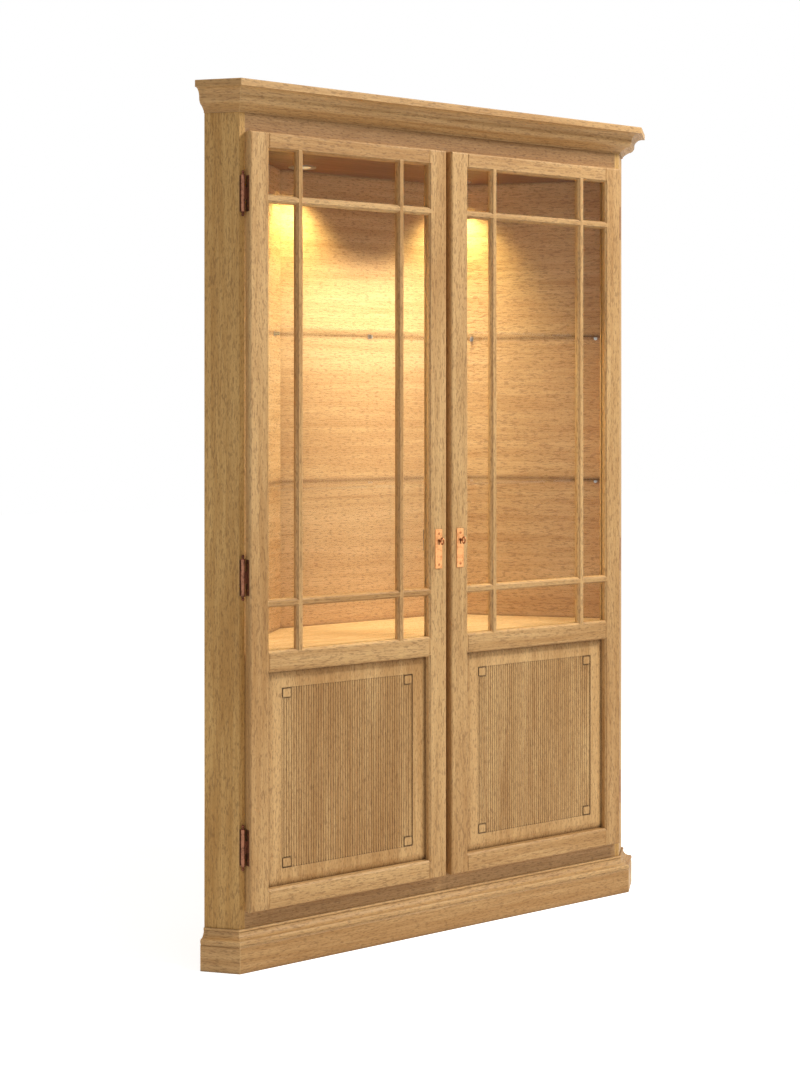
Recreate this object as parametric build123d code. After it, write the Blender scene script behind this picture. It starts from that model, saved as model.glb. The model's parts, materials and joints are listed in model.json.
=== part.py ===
"""Corner display cabinet: glazed and fluted doors on an oak carcass that stands in a room corner.

Millimetres, +Z up, front towards -Y. While the pieces are modelled, y = 0 is the front plane of the
carcass, y grows into the room corner and x = 0 is the plane of symmetry.
"""
from build123d import *
import os
from math import radians, sqrt, tan

# Carcass
HEIGHT = 2000.0
FRONT_WIDTH = 1110.0
RETURN_LENGTH = 83.0
SIDE_THICK = 20.0
SIDE_EDGE = 14.0
FRAME_THICK = 20.0
BOARD_THICK = 18.0
BACK_THICK = 12.0
BACK_INSET = 41.3
BACK_TONGUE = 6.0
INNER_DEPTH = 350.0
POST_WIDTH = 30.0
FLOOR_DROP = 8.0

# Doors
DOOR_BOTTOM = 131.0
DOOR_TOP_DROP = 107.0
DOOR_THICK = 25.0
DOOR_REVEAL = 15.0
DOOR_LAP = 19.0
DOOR_ROUND = 5.0
STILE_WIDTH = 49.0
TOP_RAIL = 38.0
MIDDLE_RAIL = 48.0
MIDDLE_RAIL_FOOT = 668.0
BOTTOM_RAIL = 45.0
TENON_LENGTH = 28.0
TENON_THICK = 8.0
TENON_SHOULDER = 8.0
TENON_SETBACK = 6.0
JOINT_GROOVE = 1.5
STICKING = 4.0
STICKING_QUIRK = 1.0

# Glazing
REBATE_WIDTH = 9.0
GLASS_SETBACK = 15.5
GLASS_THICK = 4.0
GLASS_PLAY = 0.3
MUNTIN_WIDTH = 19.0
MUNTIN_NOSE = 9.0
MUNTIN_SHOULDER = 3.0
MUNTIN_LIP = 2.0
MUNTIN_OFFSET = 80.0
UPPER_MUNTIN_DROP = 112.0
LOWER_MUNTIN_RISE = 108.0

# Fluted door panel
PANEL_SETBACK = 15.0
PANEL_TONGUE = 4.0
PANEL_GROOVE = 9.0
PANEL_PLAY = 0.3
BEVEL_WIDTH = 17.0
BEVEL_DROP = 3.5
FIELD_MARGIN = 40.0
FIELD_SINK = 2.2
GUTTER = 5.0
REED_PITCH = 6.5
REED_RISE = 1.9
BLOCK_WIDTH = 21.0
BLOCK_HEIGHT = 20.0
BLOCK_GAP = 2.0

# Cornice
CORNICE_HEIGHT = 64.0
CORNICE_REACH = 62.0
CORNICE_ROUND = 3.0
FASCIA_HEIGHT = 16.0
FASCIA_STEP = 4.0
COVE_HEIGHT = 14.0
WAIST_REACH = 34.7
WAIST_HEIGHT = 6.0
BED_HEIGHT = 15.0
BED_REACH = 22.0
BED_LEDGE = 2.0
BED_HOLLOW = 1.0
WAIST_ROUND = 2.5
FOOT_STEP = 4.0

# Plinth and base moulding
PLINTH_HEIGHT = 58.0
PLINTH_REACH = 27.0
PLINTH_EDGE = 1.5
BASE_MOULDING_HEIGHT = 33.0
BASE_MOULDING_REACH = 27.5
BASE_QUIRK = 2.5
BASE_TORUS = 11.0
BASE_BEAD = 6.0
BASE_BEAD_REACH = 4.0
BASE_BEAD_BULGE = 2.0

# Hinges
HINGE_FROM_FOOT = 145.0
HINGE_FROM_HEAD = 141.0
MIDDLE_HINGE_RISE = 169.0
HINGE_LENGTH = 82.0
BARREL_DIAMETER = 10.0
PIN_DIAMETER = 4.8
HINGE_INBOARD = 6.0
HINGE_FORWARD = 6.5
KNUCKLE_GAP = 0.3
WEB_THICK = 1.6
LEAF_THICK = 1.6
FRAME_LEAF_WIDTH = 11.0
DOOR_LEAF_WIDTH = 17.0
DOOR_LEAF_SETBACK = 4.0
FINIAL_HEIGHT = 11.0
FINIAL_BALL = 7.0
FINIAL_COLLAR = 1.6
FINIAL_TAPER = 1.0
FINIAL_NECK = 4.2
RUNNING_FIT = 0.05

# Locks
KEY_RISE = 231.0
KEY_BACKSET = 24.0
CASE_WIDTH = 36.0
CASE_HEIGHT = 50.0
CASE_DEPTH = 12.0
CASE_WALL = 1.5
CASE_POST_GAP = 1.0
BOLT_LENGTH = 31.0
BOLT_HEIGHT = 18.0
BOLT_THICK = 6.4
BOLT_TAIL = 3.2
BOLT_SETBACK = 2.8
BOLT_THROW = 8.0
BOLT_PLAY = 0.3
BOLT_SPARE = 0.5
SHANK_DIAMETER = 3.8
BIT_REACH = 8.0
BIT_THICK = 2.4
BIT_DEPTH = 3.2
BIT_SETBACK = 2.0
BIT_CLEARANCE = 0.3
STRIKE_THICK = 1.5
STRIKE_HEIGHT = 36.0
STRIKE_WIDTH = 12.0
STRIKE_SETBACK = 1.0

# Lock plates and keys
PLATE_DROP = 20.0
PLATE_WIDTH = 19.0
PLATE_HEIGHT = 94.0
PLATE_THICK = 3.0
PLATE_BEVEL = 1.0
KEYHOLE_DIAMETER = 7.0
KEYHOLE_SLOT = 3.6
KEYHOLE_DROP = 10.0
BOW_HEIGHT = 18.0
BOW_LENGTH = 14.0
BOW_WALL = 2.8
BOW_THICK = 2.6
KEY_PROJECTION = 21.0
KEY_COLLAR = 6.0
KEY_COLLAR_LENGTH = 2.0
KEY_COLLAR_GAP = 1.0

# Shelves and their supports
SHELF_CLEARANCE = 2.0
CUPBOARD_SHELF_RISE = 252.0
CUPBOARD_SHELF_FRONT = 32.0
LOWER_GLASS_SHELF_RISE = 367.0
UPPER_GLASS_SHELF_DROP = 419.0
GLASS_SHELF_THICK = 6.0
GLASS_SHELF_FRONT = 50.0
SHELF_PIN_DIAMETER = 5.0
SHELF_PIN_PROJECTION = 14.0
SHELF_PIN_DEPTH = 8.0
SHELF_PIN_COLLAR = 9.0
SHELF_PIN_COLLAR_THICK = 1.5
SHELF_PIN_FLAT = 0.5
SHELF_PIN_PLACES = (45.0, 380.0)

# Lamps
LAMP_FROM_LEG = 93.0
LAMP_FROM_BACK = 66.0
LAMP_FLANGE = 70.0
LAMP_RING = 2.5
LAMP_LIP = 1.5
LAMP_BODY = 58.0
LAMP_HEIGHT = 40.0
LAMP_WALL = 1.5
LAMP_PLAY = 0.5
LENS_DIAMETER = 50.0
LENS_THICK = 3.0
LENS_SEAT = 2.0

# How far a cutter runs past what it cuts, and the play in a rounded count
OVERCUT = 1.0
COUNT_PLAY = 0.001

# Places that follow from the sizes above
ROOT2 = sqrt(2)
ARC_FAR = sqrt(0.5)
ARC_NEAR = 1 - ARC_FAR
MITRE = tan(radians(22.5))
HALF = FRONT_WIDTH / 2
WALL_SUM = HALF + RETURN_LENGTH * ROOT2
INNER_SUM = WALL_SUM - BACK_INSET * ROOT2
OUTER_SUM = INNER_SUM + BACK_THICK * ROOT2
SIDE_SEAT = HALF - SIDE_EDGE
SIDE_INNER = HALF - SIDE_THICK * ROOT2
INNER_CORNER = ((INNER_SUM + SIDE_INNER) / 2, (INNER_SUM - SIDE_INNER) / 2)
REAR = INNER_DEPTH + BACK_THICK
CARCASS_TOP = HEIGHT - BOARD_THICK
CORNICE_FOOT = HEIGHT - CORNICE_HEIGHT
DOOR_TOP = HEIGHT - DOOR_TOP_DROP
CEILING_LEVEL = DOOR_TOP - DOOR_LAP
FLOOR_LEVEL = MIDDLE_RAIL_FOOT + MIDDLE_RAIL - FLOOR_DROP
BASE_LEVEL = DOOR_BOTTOM + DOOR_LAP
DOOR_LEFT = -HALF + DOOR_REVEAL
DOOR_RIGHT = -DOOR_REVEAL / 2
OPENING_LEFT = DOOR_LEFT + STILE_WIDTH
OPENING_RIGHT = DOOR_RIGHT - STILE_WIDTH
GLAZED = (MIDDLE_RAIL_FOOT + MIDDLE_RAIL, DOOR_TOP - TOP_RAIL)
PANELLED = (DOOR_BOTTOM + BOTTOM_RAIL, MIDDLE_RAIL_FOOT)
UPPER_MUNTIN_LEVEL = GLAZED[1] - UPPER_MUNTIN_DROP
LOWER_MUNTIN_LEVEL = GLAZED[0] + LOWER_MUNTIN_RISE
GLASS_FRONT = -DOOR_THICK + GLASS_SETBACK
GLASS_REAR = GLASS_FRONT + GLASS_THICK
PANEL_FACE = -DOOR_THICK + PANEL_SETBACK
TONGUE_FRONT = PANEL_FACE + BEVEL_DROP
TONGUE_REAR = TONGUE_FRONT + PANEL_TONGUE
HINGE_LEVELS = (DOOR_BOTTOM + HINGE_FROM_FOOT, GLAZED[0] + MIDDLE_HINGE_RISE, DOOR_TOP - HINGE_FROM_HEAD)
HINGE_X = -HALF + HINGE_INBOARD
HINGE_Y = -HINGE_FORWARD
KNUCKLE = HINGE_LENGTH / 3
KEY_LEVEL = GLAZED[0] + KEY_RISE
PLATE_LEVEL = KEY_LEVEL - PLATE_DROP
KEY_X = DOOR_RIGHT - KEY_BACKSET
CASE_RIGHT = -POST_WIDTH / 2 - CASE_POST_GAP
CASE_LEFT = CASE_RIGHT - CASE_WIDTH
BOLT_REAR = BOLT_SETBACK + BOLT_THICK
PLATE_FRONT = -DOOR_THICK - PLATE_THICK
BOW_FRONT = PLATE_FRONT - KEY_PROJECTION
BOW_REAR = BOW_FRONT + BOW_LENGTH
LAMP_Y = INNER_DEPTH - LAMP_FROM_BACK
LAMP_X = INNER_SUM - LAMP_Y - LAMP_FROM_LEG
CUPBOARD_SHELF_LEVEL = BASE_LEVEL + CUPBOARD_SHELF_RISE
LOWER_GLASS_SHELF_LEVEL = FLOOR_LEVEL + LOWER_GLASS_SHELF_RISE
UPPER_GLASS_SHELF_LEVEL = CEILING_LEVEL - UPPER_GLASS_SHELF_DROP
SHELF_LEVELS = (CUPBOARD_SHELF_LEVEL, LOWER_GLASS_SHELF_LEVEL, UPPER_GLASS_SHELF_LEVEL)
SECTION_PLANE = Plane(origin=(0, 0, 0), x_dir=(0, -1, 0), z_dir=(-1, 0, 0))
ORIGIN_SHIFT = Pos(0, (CORNICE_REACH - REAR) / 2, 0)


# Shared ways to make and write solids

def block(x, y, z):
    """A box from three (low, high) pairs."""
    size = Box(x[1] - x[0], y[1] - y[0], z[1] - z[0], align=Align.MIN)
    return Pos(x[0], y[0], z[0]) * size


def around(centre, size):
    """The (low, high) pair of a size about its centre."""
    return (centre - size / 2, centre + size / 2)


def grown(pair, margin):
    """A (low, high) pair made wider at both ends."""
    return (pair[0] - margin, pair[1] + margin)


def outline(start, *steps):
    """A face: a step is a point for a line, or (through, end) for an arc."""
    edges = []
    here = start
    for step in steps:
        if isinstance(step[0], tuple):
            edges.append(ThreePointArc(here, step[0], step[1]))
            here = step[1]
        else:
            edges.append(Line(here, step))
            here = step
    edges.append(Line(here, start))
    return make_face(edges)


def plan_solid(points, z):
    """A plan outline raised between two levels."""
    face = make_face(Polyline(*points, close=True))
    return Pos(0, 0, z[0]) * extrude(face, z[1] - z[0], dir=(0, 0, 1))


def both_sides(points):
    """A plan outline whose left half mirrors the right half given."""
    return list(points) + [(-x, y) for x, y in reversed(points)]


def mirrored(shape):
    """The same piece on the other side of the cabinet."""
    return mirror(shape, about=Plane.YZ)


def rod_y(diameter, x, y, z):
    """A cylinder along y, between the two values of y."""
    disc = Plane(origin=(x, y[0], z), x_dir=(1, 0, 0), z_dir=(0, 1, 0)) * Circle(diameter / 2)
    return extrude(disc, y[1] - y[0])


def rod_z(diameter, x, y, z):
    """A cylinder along z, between the two values of z."""
    standing = (Align.CENTER, Align.CENTER, Align.MIN)
    return Pos(x, y, z[0]) * Cylinder(diameter / 2, z[1] - z[0], align=standing)


def save(name, *solids):
    """Write one node, moved so that the origin is under the middle of the cabinet."""
    pieces = [ORIGIN_SHIFT * solid for solid in solids]
    shape = pieces[0] if len(pieces) == 1 else Compound(children=pieces)
    export_step(shape, f"parts/{name}.step")


def save_both(name, *left_solids):
    """Write a left node and its mirror image; name has a place for the side."""
    save(name.format("left"), *left_solids)
    save(name.format("right"), *[mirrored(solid) for solid in left_solids])


# Walls and boards of the carcass

def back_leg():
    """Right leg of the back, parallel to the wall, with a tongue let into the return."""
    tongue = BACK_TONGUE / ROOT2
    thick = BACK_THICK / ROOT2
    start = (INNER_CORNER[0] + tongue, INNER_CORNER[1] - tongue)
    points = [
        start,
        (start[0] + thick, start[1] + thick),
        (OUTER_SUM - REAR, REAR),
        (INNER_SUM - INNER_DEPTH, INNER_DEPTH),
    ]
    return plan_solid(points, (0, CARCASS_TOP))


def back_centre():
    """Back panel across the cut-off rear corner, mitred to both legs."""
    points = both_sides([(INNER_SUM - INNER_DEPTH, INNER_DEPTH), (OUTER_SUM - REAR, REAR)])
    return plan_solid(points, (0, CARCASS_TOP))


def side_panel():
    """Left return, at 45 degrees to the front, stepped at its front edge to seat the front frame."""
    reach = RETURN_LENGTH / ROOT2
    inward = SIDE_THICK / ROOT2
    points = [
        (SIDE_SEAT, 0),
        (HALF, 0),
        (HALF + reach, reach),
        (HALF + reach - inward, reach + inward),
        (SIDE_SEAT, SIDE_SEAT - SIDE_INNER),
    ]
    panel = plan_solid(points, (0, CARCASS_TOP)) - back_leg()
    panel = mirrored(panel)
    for level in HINGE_LEVELS:
        panel -= frame_leaf_plate(level)
    return panel


def room(z, front, clearance=0.0):
    """The space between the inner walls, from a front line to the back, between two levels."""
    side_line = SIDE_INNER - clearance * ROOT2
    leg_line = INNER_SUM - clearance * ROOT2
    back_line = INNER_DEPTH - clearance
    points = [
        (side_line, 0),
        ((leg_line + side_line) / 2, (leg_line - side_line) / 2),
        (leg_line - back_line, back_line),
    ]
    ahead = block((-HALF, HALF), (-OVERCUT, front), grown(z, OVERCUT))
    return plan_solid(both_sides(points), z) - ahead


def level_board(top):
    """A full board between the walls, its front edge against the front frame."""
    return room((top - BOARD_THICK, top), FRAME_THICK)


def ceiling_board():
    """Ceiling of the display space, bored for the two lamps."""
    board = level_board(CEILING_LEVEL + BOARD_THICK)
    for x in (-LAMP_X, LAMP_X):
        board -= rod_z(LAMP_BODY + 2 * LAMP_PLAY, x, LAMP_Y, (CEILING_LEVEL, CEILING_LEVEL + BOARD_THICK))
    return board


def top_board():
    """Top of the cabinet, flush with the front and returns and reaching the walls."""
    reach = RETURN_LENGTH / ROOT2
    points = both_sides([(HALF, 0), (HALF + reach, reach), (WALL_SUM - REAR, REAR)])
    return plan_solid(points, (CARCASS_TOP, HEIGHT))


# Front frame behind the doors

def frieze():
    """Rail above the doors, lapped by their top rails."""
    return block((-SIDE_SEAT, SIDE_SEAT), (0, FRAME_THICK), (CEILING_LEVEL, CARCASS_TOP))


def base_rail():
    """Rail below the doors, down to the floor behind the plinth."""
    return block((-SIDE_SEAT, SIDE_SEAT), (0, FRAME_THICK), (0, BASE_LEVEL))


def bolt_pocket():
    """The mortise for the left bolt, open through the strike plate."""
    depth = BOLT_THROW - CASE_POST_GAP + BOLT_SPARE
    return block(
        (-POST_WIDTH / 2 - OVERCUT, -POST_WIDTH / 2 + depth),
        grown((BOLT_SETBACK, BOLT_REAR), BOLT_PLAY),
        grown(around(KEY_LEVEL, BOLT_HEIGHT), BOLT_PLAY),
    )


def strike_plate():
    """Left strike plate, flush in the side of the post."""
    plate = block(
        (-POST_WIDTH / 2, -POST_WIDTH / 2 + STRIKE_THICK),
        (STRIKE_SETBACK, STRIKE_SETBACK + STRIKE_WIDTH),
        around(KEY_LEVEL, STRIKE_HEIGHT),
    )
    return plate - bolt_pocket()


def centre_post():
    """Post that both doors close on, mortised on each side for a bolt and its strike plate."""
    post = block(around(0, POST_WIDTH), (0, FRAME_THICK), (BASE_LEVEL, CEILING_LEVEL))
    recess = strike_plate() + bolt_pocket()
    return post - recess - mirrored(recess)


# Mouldings that run round the front and returns, mitred at the corners and square at the walls

def front_run(section, reach, z):
    """A moulded run along the front, mitred at both ends."""
    half = HALF + reach * MITRE
    length = extrude(SECTION_PLANE * section, half + OVERCUT, both=True)
    points = both_sides([(HALF, 0), (half, -reach)])
    return length & plan_solid(points, z)


def return_run(section, reach, z):
    """The same run along the left return, mitred at the front and cut square at the wall."""
    over = reach * MITRE
    length = extrude(SECTION_PLANE * section, RETURN_LENGTH + over + OVERCUT, both=True)
    points = [(0, 0), (RETURN_LENGTH, 0), (RETURN_LENGTH, -reach), (-over, -reach)]
    run = length & plan_solid(points, z)
    return mirrored(Pos(HALF, 0, 0) * Rot(0, 0, 45) * run)


def cornice_section():
    """Fascia over a cove, a plain waist, and a bed mould that steps back to the frieze."""
    fascia_foot = HEIGHT - FASCIA_HEIGHT
    waist_top = fascia_foot - COVE_HEIGHT
    waist_foot = waist_top - WAIST_HEIGHT
    bed_top = CORNICE_FOOT + BED_HEIGHT
    step_top = CORNICE_FOOT + FOOT_STEP
    cove_end = CORNICE_REACH - FASCIA_STEP
    cove_through = (WAIST_REACH + ARC_NEAR * (cove_end - WAIST_REACH), waist_top + ARC_FAR * COVE_HEIGHT)
    hollow_through = ((FOOT_STEP + BED_REACH) / 2, (step_top + bed_top) / 2 + BED_HOLLOW)
    round_through = (WAIST_REACH - WAIST_ROUND, (bed_top + waist_foot) / 2)
    crown = CORNICE_REACH - CORNICE_ROUND
    crown_through = (CORNICE_REACH - ARC_NEAR * CORNICE_ROUND, HEIGHT - ARC_NEAR * CORNICE_ROUND)
    return outline(
        (0, CORNICE_FOOT),
        (FOOT_STEP, CORNICE_FOOT),
        (FOOT_STEP, step_top),
        (hollow_through, (BED_REACH, bed_top)),
        (BED_REACH + BED_LEDGE, bed_top),
        (round_through, (WAIST_REACH, waist_foot)),
        (WAIST_REACH, waist_top),
        (cove_through, (cove_end, fascia_foot)),
        (CORNICE_REACH, fascia_foot),
        (CORNICE_REACH, HEIGHT - CORNICE_ROUND),
        (crown_through, (crown, HEIGHT)),
        (0, HEIGHT),
    )


def plinth_section():
    """Plain board with an eased top edge."""
    return outline(
        (0, 0),
        (PLINTH_REACH, 0),
        (PLINTH_REACH, PLINTH_HEIGHT - PLINTH_EDGE),
        (PLINTH_REACH - PLINTH_EDGE, PLINTH_HEIGHT),
        (0, PLINTH_HEIGHT),
    )


def base_moulding_section():
    """Quirk, torus and cove under a small bead."""
    top = PLINTH_HEIGHT + BASE_MOULDING_HEIGHT
    quirk = BASE_MOULDING_REACH - BASE_QUIRK
    torus_foot = PLINTH_HEIGHT + BASE_QUIRK
    torus_top = torus_foot + BASE_TORUS
    ledge = quirk - BASE_QUIRK
    bead_foot = top - BASE_BEAD
    cove_x = BASE_BEAD_REACH + ARC_NEAR * (ledge - BASE_BEAD_REACH)
    cove_z = torus_top + ARC_NEAR * (bead_foot - torus_top)
    return outline(
        (0, PLINTH_HEIGHT),
        (quirk, PLINTH_HEIGHT),
        (quirk, torus_foot),
        ((BASE_MOULDING_REACH, torus_foot + BASE_TORUS / 2), (quirk, torus_top)),
        (ledge, torus_top),
        ((cove_x, cove_z), (BASE_BEAD_REACH, bead_foot)),
        ((BASE_BEAD_REACH + BASE_BEAD_BULGE, bead_foot + BASE_BEAD / 2), (BASE_BEAD_REACH, top)),
        (0, top),
    )


# Left door; the right door is its mirror image

def window(z, margin, y):
    """The opening between the stiles and two rails, made wider by a margin."""
    return block(grown((OPENING_LEFT, OPENING_RIGHT), margin), y, grown(z, margin))


def opening_face(z, margin, y):
    """A rectangle about an opening, in the plane at y."""
    centre = ((OPENING_LEFT + OPENING_RIGHT) / 2, y, (z[0] + z[1]) / 2)
    width = OPENING_RIGHT - OPENING_LEFT + 2 * margin
    height = z[1] - z[0] + 2 * margin
    return Plane(origin=centre, x_dir=(1, 0, 0), z_dir=(0, -1, 0)) * Rectangle(width, height)


def sticking(z):
    """The moulded edge cut round an opening: a shallow step, then a chamfer that mitres itself."""
    step = -DOOR_THICK + STICKING_QUIRK
    chamfer = loft([opening_face(z, STICKING, step), opening_face(z, 0, step + STICKING)], ruled=True)
    return window(z, STICKING, (-DOOR_THICK - OVERCUT, step)) + chamfer


def frame_cuts():
    """Everything cut into the door frame round its two openings."""
    return [
        sticking(GLAZED),
        sticking(PANELLED),
        window(GLAZED, REBATE_WIDTH, (GLASS_FRONT, OVERCUT)),
        window(PANELLED, PANEL_GROOVE, (TONGUE_FRONT, TONGUE_REAR)),
    ]


def joint_groove(x):
    """The V line where a rail meets a stile."""
    side = JOINT_GROOVE * ROOT2
    return Pos(x, -DOOR_THICK, HEIGHT / 2) * Rot(0, 0, 45) * Box(side, side, HEIGHT)


def cut(piece, cutters):
    """A piece with each cutter taken away in turn."""
    for cutter in cutters:
        piece -= cutter
    return piece


def rails():
    """The (foot, head) levels of the three rails, bottom first."""
    return (
        (DOOR_BOTTOM, PANELLED[0]),
        (PANELLED[1], GLAZED[0]),
        (GLAZED[1], DOOR_TOP),
    )


def tenon(rail, end):
    """A rail's tenon inside the stile; end is -1 at the hinge and +1 at the lock."""
    shoulder = OPENING_LEFT if end < 0 else OPENING_RIGHT
    x = tuple(sorted((shoulder, shoulder + end * TENON_LENGTH)))
    front = -DOOR_THICK + TENON_SETBACK
    return block(x, (front, front + TENON_THICK), grown(rail, -TENON_SHOULDER))


def front_edges(piece, picks):
    """The outer edges of a plain member's front face; picks are (axis, which end)."""
    front = piece.faces().sort_by(Axis.Y)[0]
    return [front.edges().sort_by(axis)[end] for axis, end in picks]


def stile(x, end, extra_cuts):
    """A door stile, rounded on its outer edges and mortised for the three rails."""
    piece = block(x, (-DOOR_THICK, 0), (DOOR_BOTTOM, DOOR_TOP))
    outer = (Axis.X, 0 if end < 0 else -1)
    piece = fillet(front_edges(piece, [outer, (Axis.Z, 0), (Axis.Z, -1)]), DOOR_ROUND)
    shoulder = OPENING_LEFT if end < 0 else OPENING_RIGHT
    mortises = [tenon(rail, end) for rail in rails()]
    return cut(piece, frame_cuts() + mortises + [joint_groove(shoulder)] + extra_cuts)


def rail_piece(rail, rounded_end=None):
    """A door rail with a tenon at each end, rounded where it is the door's top or bottom."""
    piece = block((OPENING_LEFT, OPENING_RIGHT), (-DOOR_THICK, 0), rail)
    if rounded_end is not None:
        piece = fillet(front_edges(piece, [(Axis.Z, rounded_end)]), DOOR_ROUND)
    piece = piece + tenon(rail, -1) + tenon(rail, 1)
    return cut(piece, frame_cuts() + [joint_groove(OPENING_LEFT), joint_groove(OPENING_RIGHT)])


def door_glass():
    """The pane, in the rebate behind the muntins."""
    return window(GLAZED, REBATE_WIDTH - GLASS_PLAY, (GLASS_FRONT, GLASS_REAR))


def glazing_beads():
    """Four strips that hold the pane in its rebate."""
    y = (GLASS_REAR, 0)
    outer_x = grown((OPENING_LEFT, OPENING_RIGHT), REBATE_WIDTH)
    outer_z = grown(GLAZED, REBATE_WIDTH)
    return [
        block((outer_x[0], OPENING_LEFT), y, outer_z),
        block((OPENING_RIGHT, outer_x[1]), y, outer_z),
        block((OPENING_LEFT, OPENING_RIGHT), y, (outer_z[0], GLAZED[0])),
        block((OPENING_LEFT, OPENING_RIGHT), y, (GLAZED[1], outer_z[1])),
    ]


def muntin_section():
    """Glazing bar: square shoulders at the glass, rounded in to a narrow nose."""
    half = MUNTIN_WIDTH / 2
    nose = MUNTIN_NOSE / 2
    lip = GLASS_SETBACK - MUNTIN_LIP
    through = (nose + ARC_FAR * (half - nose), MUNTIN_SHOULDER + ARC_FAR * (lip - MUNTIN_SHOULDER))
    return outline(
        (-half, 0),
        (half, 0),
        (half, MUNTIN_SHOULDER),
        (through, (nose, lip)),
        (nose, GLASS_SETBACK),
        (-nose, GLASS_SETBACK),
        (-nose, lip),
        ((-through[0], through[1]), (-half, MUNTIN_SHOULDER)),
    )


def vertical_muntins(frame):
    """The two upright bars, scribed over the moulded edge of the frame."""
    length = GLAZED[1] - GLAZED[0] + 2 * STICKING
    bars = []
    for x in (OPENING_LEFT + MUNTIN_OFFSET, OPENING_RIGHT - MUNTIN_OFFSET):
        place = Plane(origin=(x, GLASS_FRONT, GLAZED[0] - STICKING), x_dir=(1, 0, 0), z_dir=(0, 0, -1))
        bar = extrude(place * muntin_section(), length, dir=(0, 0, 1))
        bars.append(cut(bar, frame))
    return bars


def horizontal_muntins(frame, uprights):
    """The two cross bars, each in three lengths mitred against the uprights."""
    length = OPENING_RIGHT - OPENING_LEFT + 2 * STICKING
    pieces = []
    for level in (UPPER_MUNTIN_LEVEL, LOWER_MUNTIN_LEVEL):
        place = Plane(origin=(OPENING_LEFT - STICKING, GLASS_FRONT, level), x_dir=(0, 0, 1), z_dir=(1, 0, 0))
        bar = extrude(place * muntin_section(), length, dir=(1, 0, 0))
        pieces.extend(cut(bar, frame + uprights).solids())
    return pieces


def block_places(field_x, field_z, margin):
    """Boxes (x, z) of the four corner blocks, made wider by a margin."""
    places = []
    for x in ((field_x[0], field_x[0] + BLOCK_WIDTH), (field_x[1] - BLOCK_WIDTH, field_x[1])):
        for z in ((field_z[0], field_z[0] + BLOCK_HEIGHT), (field_z[1] - BLOCK_HEIGHT, field_z[1])):
            places.append((grown(x, margin), grown(z, margin)))
    return places


def reed_sheet(x, floor, z):
    """Half-round reeds side by side across a width, rooted a little below their floor."""
    count = int((x[1] - x[0]) / REED_PITCH + COUNT_PLAY)
    start = (x[0] + x[1] - count * REED_PITCH) / 2
    steps = []
    for index in range(count):
        left = start + index * REED_PITCH
        steps.append(((left + REED_PITCH / 2, floor - REED_RISE), (left + REED_PITCH, floor)))
    root = floor + FIELD_SINK / 2
    section = outline((start, floor), *steps, (start + count * REED_PITCH, root), (start, root))
    return Pos(0, 0, z[0]) * extrude(section, z[1] - z[0], dir=(0, 0, 1))


def door_panel():
    """Raised panel whose sunk field is reeded between four corner blocks."""
    tongue = window(PANELLED, PANEL_GROOVE - PANEL_PLAY, (TONGUE_FRONT, TONGUE_REAR))
    raised = loft(
        [opening_face(PANELLED, 0, TONGUE_FRONT), opening_face(PANELLED, -BEVEL_WIDTH, PANEL_FACE)],
        ruled=True,
    )
    field_x = grown((OPENING_LEFT, OPENING_RIGHT), -FIELD_MARGIN)
    field_z = grown(PANELLED, -FIELD_MARGIN)
    floor = PANEL_FACE + FIELD_SINK
    sunk = block(field_x, (PANEL_FACE - OVERCUT, floor), field_z)
    reeds = reed_sheet(grown(field_x, -GUTTER), floor, field_z)
    for x, z in block_places(grown(field_x, -BLOCK_GAP), grown(field_z, -BLOCK_GAP), BLOCK_GAP):
        reeds -= block(x, (PANEL_FACE - OVERCUT, floor), z)
    panel = tongue + raised - sunk + reeds
    for x, z in block_places(grown(field_x, -BLOCK_GAP), grown(field_z, -BLOCK_GAP), 0):
        panel += block(x, (PANEL_FACE, floor + FIELD_SINK / 2), z)
    return panel


# Hinges: the frame leaf is let into the return's front edge, the door leaf into the stile's edge

def frame_leaf_plate(level):
    """The plate of a left frame leaf, and its mortise."""
    return block(around(HINGE_X, FRAME_LEAF_WIDTH), (0, LEAF_THICK), around(level, HINGE_LENGTH))


def door_leaf_plate(level):
    """The plate of a left door leaf, and its mortise."""
    front = -DOOR_THICK + DOOR_LEAF_SETBACK
    x = (DOOR_LEFT, DOOR_LEFT + LEAF_THICK)
    return block(x, (front, front + DOOR_LEAF_WIDTH), around(level, HINGE_LENGTH))


def knuckle(z):
    """A length of hinge barrel, bored for the pin."""
    barrel = rod_z(BARREL_DIAMETER, HINGE_X, HINGE_Y, z)
    return barrel - rod_z(PIN_DIAMETER + 2 * RUNNING_FIT, HINGE_X, HINGE_Y, grown(z, OVERCUT))


def frame_leaf(level):
    """Plate with the top and bottom knuckles."""
    leaf = frame_leaf_plate(level)
    web_front = HINGE_Y + BARREL_DIAMETER / 2 - WEB_THICK / 2
    low, high = around(level, HINGE_LENGTH)
    for z in ((low, low + KNUCKLE - KNUCKLE_GAP), (high - KNUCKLE + KNUCKLE_GAP, high)):
        leaf += knuckle(z) + block(around(HINGE_X, WEB_THICK), (web_front, LEAF_THICK), z)
    return leaf


def door_leaf(level):
    """Plate with the middle knuckle."""
    z = around(level, KNUCKLE)
    web_start = HINGE_X + BARREL_DIAMETER / 2 - WEB_THICK / 2
    web = block((web_start, DOOR_LEFT + LEAF_THICK), around(HINGE_Y, WEB_THICK), z)
    return door_leaf_plate(level) + knuckle(z) + web


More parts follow.
